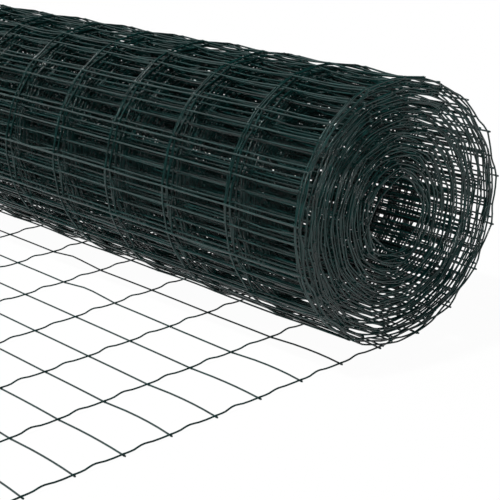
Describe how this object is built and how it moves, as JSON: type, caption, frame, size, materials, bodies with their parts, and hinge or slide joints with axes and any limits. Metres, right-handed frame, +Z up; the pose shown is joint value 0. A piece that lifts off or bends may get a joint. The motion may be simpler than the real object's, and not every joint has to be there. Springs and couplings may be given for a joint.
{
  "type": "roll of welded wire fencing",
  "caption": "Roll of green coated welded wire mesh lying on its side, with its outer end drawn out flat on the floor.",
  "frame": {"origin": "on the floor, in the middle of the part's plan", "axes": "+X along the roll's axis, towards the end that the picture shows; the drawn-out end lies towards -Y; +Z up"},
  "size_m": [1.004, 0.79, 0.2621],
  "materials": {
    "coated_wire": "dark green plastic coating, satin to glossy, over galvanised steel wire"
  },
  "bodies": {
    "root": {"rolled_mesh": "coated_wire", "unrolled_mesh": "coated_wire"}
  },
  "joints": []
}
